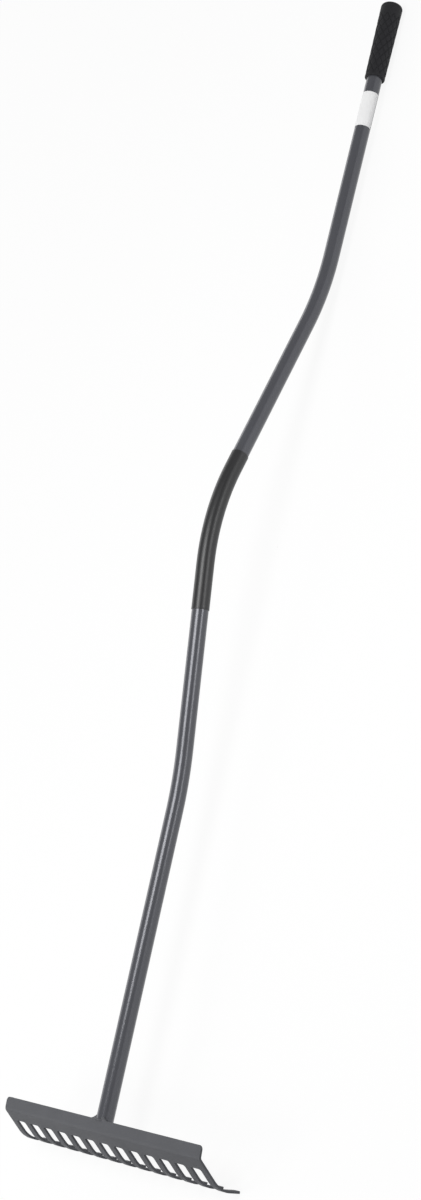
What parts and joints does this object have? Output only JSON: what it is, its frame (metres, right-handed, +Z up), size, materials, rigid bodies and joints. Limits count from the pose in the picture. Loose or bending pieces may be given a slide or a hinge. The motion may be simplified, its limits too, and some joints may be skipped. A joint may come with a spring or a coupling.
{
  "type": "garden rake",
  "caption": "Garden rake: a pressed steel head of curved tines welded to a bent tubular handle, with a thin sleeve over the waist bend and a moulded end grip.",
  "frame": {"origin": "on the ground, under the middle of the whole rake's bounding box, with the rake lying tines down", "axes": "+X along the head, +Y from the head to the end grip, +Z up, on the rounded back of the head"},
  "size_m": [0.4096, 1.6956, 0.132],
  "materials": {
    "head_steel": "satin dark grey powder coat",
    "tube_steel": "satin dark grey coat with a soft sheen",
    "weld_steel": "satin dark grey over a rough weld",
    "sleeve_plastic": "smooth black, slightly glossy",
    "grip_rubber": "matt black with a moulded diamond pattern",
    "band_paper": "plain white paper, bare"
  },
  "bodies": {
    "root": {"rake_head": "head_steel", "handle_tube": "tube_steel", "weld_bead": "weld_steel", "waist_sleeve": "sleeve_plastic", "paper_band": "band_paper", "end_grip": "grip_rubber"}
  },
  "joints": []
}
